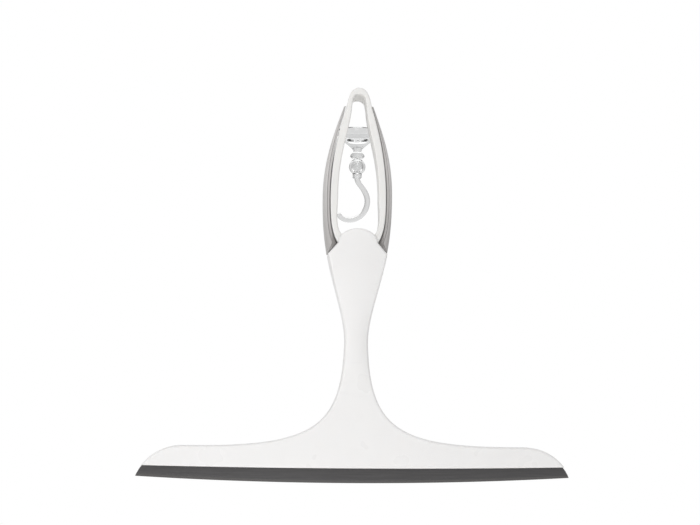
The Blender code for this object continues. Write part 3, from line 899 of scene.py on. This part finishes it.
def make_grip(name, side, node):
    """One grey grip, on the side given by +1 or -1."""
    heights = [GRIP_BOTTOM + (GRIP_TOP - GRIP_BOTTOM) * i / GRIP_STEPS for i in range(GRIP_STEPS + 1)]
    slices = [grip_section(h) for h in heights]
    bm = bmesh.new()
    sweep(bm, [[place(side * x, y, h) for x, y, _ in s] for s, h in zip(slices, heights)])
    grip = solid(name, bm)
    # Stores each point's painted shade, 0 in the crease and 1 on the roll.
    mark(grip, "crest_shade", [crest_shade for s in slices for _, _, crest_shade in s])
    finished(grip, grey_grip, node, "squeegee")


for word, side in (("left", -1), ("right", 1)):
    make_grip("grip_cover_" + word, side, "grip_" + word)

# %% [markdown]
# ## The blade
#
# The blade is a rubber extrusion cut to length: a round bead that sits in the channel, a web that thins
# downwards and a thin lip that does the wiping. Its ends are cut to follow the round ends of the head, and
# its lower edge is bowed, so the sweep runs along the blade and each slice follows that bow.

# %% Build the blade
BLADE_INSET = 0.15
EDGE_HALF = 0.6
NOSE_HEIGHT = 0.25
LIP_STEP = 1.4
LIP_CORNER = ((0.06, -0.15), (0.2, 0.0), (0.24, 0.25))
LIP_FADE = (-0.1, 0.3)
BEAD_FILLET = 0.4
ROOT_HEIGHT = 7.4
EDGE_BOW = 3.5
BLADE_SLICES = 140
END_ROUNDING = 0.35


def blade_end(height):
    """The x of the blade's end, which follows the head's round end."""
    return END_CENTRE[0] + math.sqrt((END_RADIUS - BLADE_INSET) ** 2 - (height - END_CENTRE[1]) ** 2)


def blade_slice(share):
    """One slice of the blade; share runs from -1 to 1 along it."""
    edge = EDGE_BOW * share * share
    lip_top = edge + LIP_STEP
    bead_foot = BEAD_HEIGHT - BEAD_RADIUS
    half = arc((0.0, edge + NOSE_HEIGHT), EDGE_HALF, 270.0, 360.0, 5, NOSE_HEIGHT / EDGE_HALF)
    half += [(EDGE_HALF + out, lip_top + up) for out, up in LIP_CORNER]
    half += [(BLADE_ROOT_HALF, ROOT_HEIGHT), (BLADE_ROOT_HALF, bead_foot)]
    bead = keyhole(BEAD_RADIUS, BLADE_ROOT_HALF, 0.0, 28)[2:]
    bead = [(y, h) for y, h in bead if h > bead_foot + BEAD_FILLET]
    around = half + bead + [(-y, h) for y, h in reversed(half[1:])]
    return [place(share * blade_end(h), y, h) for y, h in around]


def round_ends(bm):
    """Softens the edges of the two cut ends."""
    caps = [f for f in bm.faces if len(f.verts) > 4]
    edges = list({e for f in caps for e in f.edges})
    bmesh.ops.bevel(
        bm,
        geom=edges,
        offset=END_ROUNDING * MM,
        offset_type="OFFSET",
        segments=3,
        profile=0.5,
        affect="EDGES",
        material=-1,
        clamp_overlap=True,
    )


def lip_share(point):
    """1 on the wiping lip, 0 on the rest of the blade."""
    height = (point.z - edge_level) / MM
    edge = EDGE_BOW * (point.x / MM / blade_end(EDGE_BOW)) ** 2
    return 1.0 - ease(height - edge, *[LIP_STEP + fade for fade in LIP_FADE])


def make_blade():
    """The dark rubber blade."""
    bm = bmesh.new()
    sweep(bm, [blade_slice(2 * i / BLADE_SLICES - 1) for i in range(BLADE_SLICES + 1)])
    round_ends(bm)
    blade = solid("blade_strip", bm)
    # Marks the lip for its painted highlight.
    mark(blade, "lip", [lip_share(v.co) for v in blade.data.vertices])
    finished(blade, dark_rubber, "wiper_blade", "blade")


make_blade()

# %% [markdown]
# ## The clear cup
#
# The cup is turned: a thin flexible bell with a thick middle, a neck with a collar, and a ball stud under it
# that the hook clips on to. One half profile spun about the cup's own axis gives all of that in one closed
# skin. The axis is read from the cup's box in the frame.

# %% Build the cup
cup_low, cup_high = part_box("suction_cup")
cup_middle = (cup_low + cup_high) / 2
CUP_AXIS = (cup_middle.x / MM, cup_middle.y / MM)
CUP_RADIUS = (cup_high.x - cup_low.x) / 2 / MM
RIM_TOP = (cup_high.z - edge_level) / MM
BALL_HEIGHT = 186.8
BALL_RADIUS = 2.7
STUD_RADIUS = 1.7
STUD_TOP = 192.1
COLLAR_LINE = ((3.6, STUD_TOP), (4.3, 192.8), (4.0, 194.1), (2.7, 195.4), (2.4, 196.1))
BELL_LINE = ((3.1, 197.7), (5.8, 200.1), (9.2, 202.9), (11.9, 205.7), (13.2, 207.3))
INSIDE_LINE = ((12.2, 207.9), (10.3, 205.8), (7.2, 203.6), (3.6, 202.2), (0.0, 201.8))
RIM_EDGE = 0.3
RIM_WIDTH = 0.9
LINE_STEPS = 5
TURN_STEPS = 72


def smooth_line(points):
    """A smooth line through a few (radius, height) points."""
    line = []
    for i in range(len(points) - 1):
        before = Vector(points[max(i - 1, 0)])
        start, end = Vector(points[i]), Vector(points[i + 1])
        after = Vector(points[min(i + 2, len(points) - 1)])
        first = start + (end - before) / 6
        second = end - (after - start) / 6
        run = interpolate_bezier(start, first, second, end, LINE_STEPS + 1)
        line += [(p.x, p.y) for p in (run[1:] if line else run)]
    return line


def make_cup():
    """The clear suction cup with its neck, collar and ball stud."""
    waist = math.degrees(math.asin(STUD_RADIUS / BALL_RADIUS))
    ball = arc((0.0, BALL_HEIGHT), BALL_RADIUS, -90.0, 90.0 - waist, 18)
    ball[0] = (0.0, ball[0][1])
    collar, bell, inside = (smooth_line(line) for line in (COLLAR_LINE, BELL_LINE, INSIDE_LINE))
    rim = [(CUP_RADIUS, RIM_TOP - RIM_EDGE)]
    rim += [(CUP_RADIUS - inwards, RIM_TOP) for inwards in (RIM_EDGE, RIM_WIDTH)]
    profile = ball + [(STUD_RADIUS, STUD_TOP)] + collar + bell + rim + inside
    bm = turning(profile, CUP_AXIS, TURN_STEPS)
    finished(solid("cup_moulding", bm), clear_soft, "suction_cup", "suction_cup")


make_cup()

# %% [markdown]
# ## The hook
#
# The hook clips over the stud with a rounded socket and turns on it. Socket and arm are one clear moulding,
# so they have to be one skin: inner walls inside clear plastic would show. The socket is turned with an open
# ring left in its collar, and the arm is swept from that ring along its curve to a rounded tip.

# %% Build the hook
SOCKET_TOP = 191.5
SOCKET_BOTTOM = 181.7
SOCKET_RADIUS = 5.0
SOCKET_BORE = 3.1
SOCKET_MOUTH = 2.3
COLLAR_RADIUS = 2.7
COLLAR_FOOT = 179.5
ARM_RADIUS = 1.65
ARM_SIDES = 40
ARM_ROUTE = (
    ((0.0, COLLAR_FOOT), (0.0, 176.5), (4.0, 174.2), (5.8, 168.8), 16),
    ((5.8, 168.8), (7.8, 163.0), (4.0, 154.5), (-4.2, 154.1), 24),
    ((-4.2, 154.1), (-7.5, 154.0), (-9.5, 155.2), (-10.8, 157.2), 12),
)
TIP_STEPS = 6
TIP_BULGE = 0.5
COLLAR_CORNER = 0.5
MOUTH_CHAMFER = 0.4


def socket_profile():
    """Half section of the socket, from the arm's root round to the floor of the bore."""
    middle = (SOCKET_TOP + SOCKET_BOTTOM) / 2
    tall = (SOCKET_TOP - SOCKET_BOTTOM) / 2 / SOCKET_RADIUS
    corner = (COLLAR_RADIUS - COLLAR_CORNER, COLLAR_FOOT + COLLAR_CORNER)
    foot = arc(corner, COLLAR_CORNER, 270.0, 360.0, 5)
    outside = arc((0.0, middle), SOCKET_RADIUS, -55.0, 70.0, 22, tall)
    mouth = [(SOCKET_MOUTH + MOUTH_CHAMFER, SOCKET_TOP), (SOCKET_MOUTH, SOCKET_TOP - MOUTH_CHAMFER)]
    bore = arc((0.0, BALL_HEIGHT), SOCKET_BORE, 40.0, -90.0, 18)
    bore[-1] = (0.0, bore[-1][1])
    return [(ARM_RADIUS, COLLAR_FOOT)] + foot + [(COLLAR_RADIUS, SOCKET_BOTTOM)] + outside + mouth + bore


def arm_sections():
    """Rings square to the arm's route, then smaller ones that round its tip."""
    route = [place(CUP_AXIS[0] + x, CUP_AXIS[1], h) for x, h in chain(ARM_ROUTE)]
    side = Vector((0.0, 1.0, 0.0))
    down = Vector((0.0, 0.0, -1.0))
    turns = [2 * math.pi * k / ARM_SIDES for k in range(ARM_SIDES)]
    sections = []
    for i, point in enumerate(route):
        run = (route[min(i + 1, len(route) - 1)] - route[i - 1]).normalized() if i else down
        across = side.cross(run)
        sections.append((point, across, ARM_RADIUS))
    for k in range(1, TIP_STEPS):
        angle = math.pi / 2 * k / TIP_STEPS
        ahead = run * ARM_RADIUS * MM * TIP_BULGE * math.sin(angle)
        sections.append((point + ahead, across, ARM_RADIUS * math.cos(angle)))
    return [[p + r * MM * (a * math.cos(t) + side * math.sin(t)) for t in turns] for p, a, r in sections]


def make_hook():
    """The clear J-hook with its socket."""
    bm = turning(socket_profile(), CUP_AXIS, ARM_SIDES)
    sweep(bm, arm_sections(), closed_start=False)
    bmesh.ops.remove_doubles(bm, verts=bm.verts, dist=2e-6)
    finished(solid("hook_moulding", bm), clear_hard, "hook", "hook")


make_hook()

# %% [markdown]
# ## Floor and light
#
# White goods on white need light that wraps round from everywhere, with only a little more from one side to
# draw the edges. The world gives the wrap. It is dimmer out to both sides, which draws a thin grey line
# round white rims and darkens the edges of clear plastic. A small lamp low in front lifts the cross-bar and
# fades towards its ends, and two larger ones, on the left and above, keep the handle open. The pale floor
# lies well below and glows as painted light, faintly in the middle and more towards its rim, so it fades
# into the backdrop.

# %% Floor, world and lamps
FLOOR_DROP = 0.5
FLOOR_RADIUS = 2.0


def pale_floor():
    """A plain pale disc under the object, glowing more towards its rim so that it melts into the white
    backdrop.
    """
    bm = bmesh.new()
    spot = Matrix.Translation((0.0, 0.0, cad_low.z - FLOOR_DROP))
    bmesh.ops.create_circle(bm, cap_ends=True, segments=96, radius=FLOOR_RADIUS, matrix=spot)
    floor = solid("floor", bm)
    material, tree, shader, coords = start("pale_floor")
    noise = add(tree, "ShaderNodeTexNoise", Vector=coords, Scale=3.0, Detail=2.0).outputs[0]
    tone = blend_colours(tree, noise, (0.80, 0.80, 0.80, 1.0), (0.82, 0.82, 0.82, 1.0))
    tree.links.new(tone, shader.inputs["Base Color"])
    shader.inputs["Roughness"].default_value = 0.9
    flat = add(tree, "ShaderNodeVectorMath", {"operation": "MULTIPLY"}, _0=coords, _1=(1.0, 1.0, 0.0))
    away = add(tree, "ShaderNodeVectorMath", {"operation": "LENGTH"}, _0=flat.outputs[0]).outputs["Value"]
    # Painted light: the floor glows, weakly in the middle and strongly at its rim.
    glow = spread(tree, away, 0.1, FLOOR_RADIUS, 0.15, 0.95)
    shader.inputs["Emission Color"].default_value = (1.0, 1.0, 1.0, 1.0)
    tree.links.new(glow, shader.inputs["Emission Strength"])
    floor.data.materials.append(material)


def studio_world(seen, ambient, lean, sides):
    """A plain world: one brightness as a backdrop, another as light, leaning and dimmer at the sides."""
    world = bpy.data.worlds.new("studio")
    world.use_nodes = True
    tree = world.node_tree
    tree.nodes.clear()
    direct = tree.nodes.new("ShaderNodeLightPath").outputs["Is Camera Ray"]
    towards = tree.nodes.new("ShaderNodeTexCoord").outputs["Generated"]
    leaning = add(tree, "ShaderNodeVectorMath", {"operation": "DOT_PRODUCT"}, _0=towards, _1=lean)
    sideways = add(tree, "ShaderNodeSeparateXYZ", Vector=towards).outputs["X"]
    squared = calc(tree, "POWER", calc(tree, "ABSOLUTE", sideways), 2.0)
    dimmed = calc(tree, "MULTIPLY_ADD", squared, -sides, ambient)
    given = calc(tree, "ADD", leaning.outputs["Value"], dimmed)
    strength = spread(tree, direct, 0.0, 1.0, given, seen)
    sky = add(tree, "ShaderNodeBackground", Color=(1.0, 1.0, 1.0, 1.0), Strength=strength)
    out = tree.nodes.new("ShaderNodeOutputWorld")
    tree.links.new(sky.outputs[0], out.inputs[0])
    bpy.context.scene.world = world


def lamp(name, where, target, size, power):
    """A soft square light that faces a point."""
    light = bpy.data.lights.new(name, "AREA")
    light.size = size
    light.energy = power
    holder = bpy.data.objects.new(name, light)
    holder.location = where
    holder.rotation_mode = "QUATERNION"
    holder.rotation_quaternion = (Vector(target) - Vector(where)).to_track_quat("-Z", "Y")
    bpy.context.scene.collection.objects.link(holder)


middle = (cad_low + cad_high) / 2
bar = Vector((0.0, 0.0, cad_low.z))
pale_floor()
studio_world(seen=1.0, ambient=0.67, lean=(-0.04, 0.04, 0.09), sides=0.38)
lamp("key", (-0.05, -0.17, -0.33), bar, 0.12, 0.062)
lamp("left", (-0.55, -0.50, -0.10), middle, 0.4, 0.98)
lamp("top", (-0.05, -0.50, 0.34), middle, 0.3, 0.78)
print("lamps:", sorted(light.name for light in bpy.data.lights))

# %% [markdown]
# ## Camera
#
# The camera stands a little left of the middle and low, near the head, and looks slightly up and to the
# right, so that the handle leans back and narrows towards its tip. A lens of about 58 mm keeps that
# narrowing gentle.

# %% Camera
CAMERA_SIDE = -48.8
CAMERA_FRONT = -642.0
CAMERA_HEIGHT = 49.4
YAW, PITCH, ROLL = (math.radians(a) for a in (-4.0, 6.73, 0.58))
LENS = 57.74
SENSOR_WIDTH = 36.0


def add_camera():
    """The one camera, placed by its yaw, pitch and roll."""
    data = bpy.data.cameras.new("camera")
    data.lens = LENS
    data.sensor_width = SENSOR_WIDTH
    camera = bpy.data.objects.new("camera", data)
    upright = Matrix.Rotation(math.pi / 2 + PITCH, 4, "X")
    turned = Matrix.Rotation(YAW, 4, "Z") @ upright @ Matrix.Rotation(ROLL, 4, "Z")
    camera.matrix_world = Matrix.Translation(place(CAMERA_SIDE, CAMERA_FRONT, CAMERA_HEIGHT)) @ turned
    bpy.context.scene.collection.objects.link(camera)
    bpy.context.scene.camera = camera


add_camera()
bpy.context.scene.view_settings.view_transform = "Standard"
print("camera's lens, mm:", LENS)
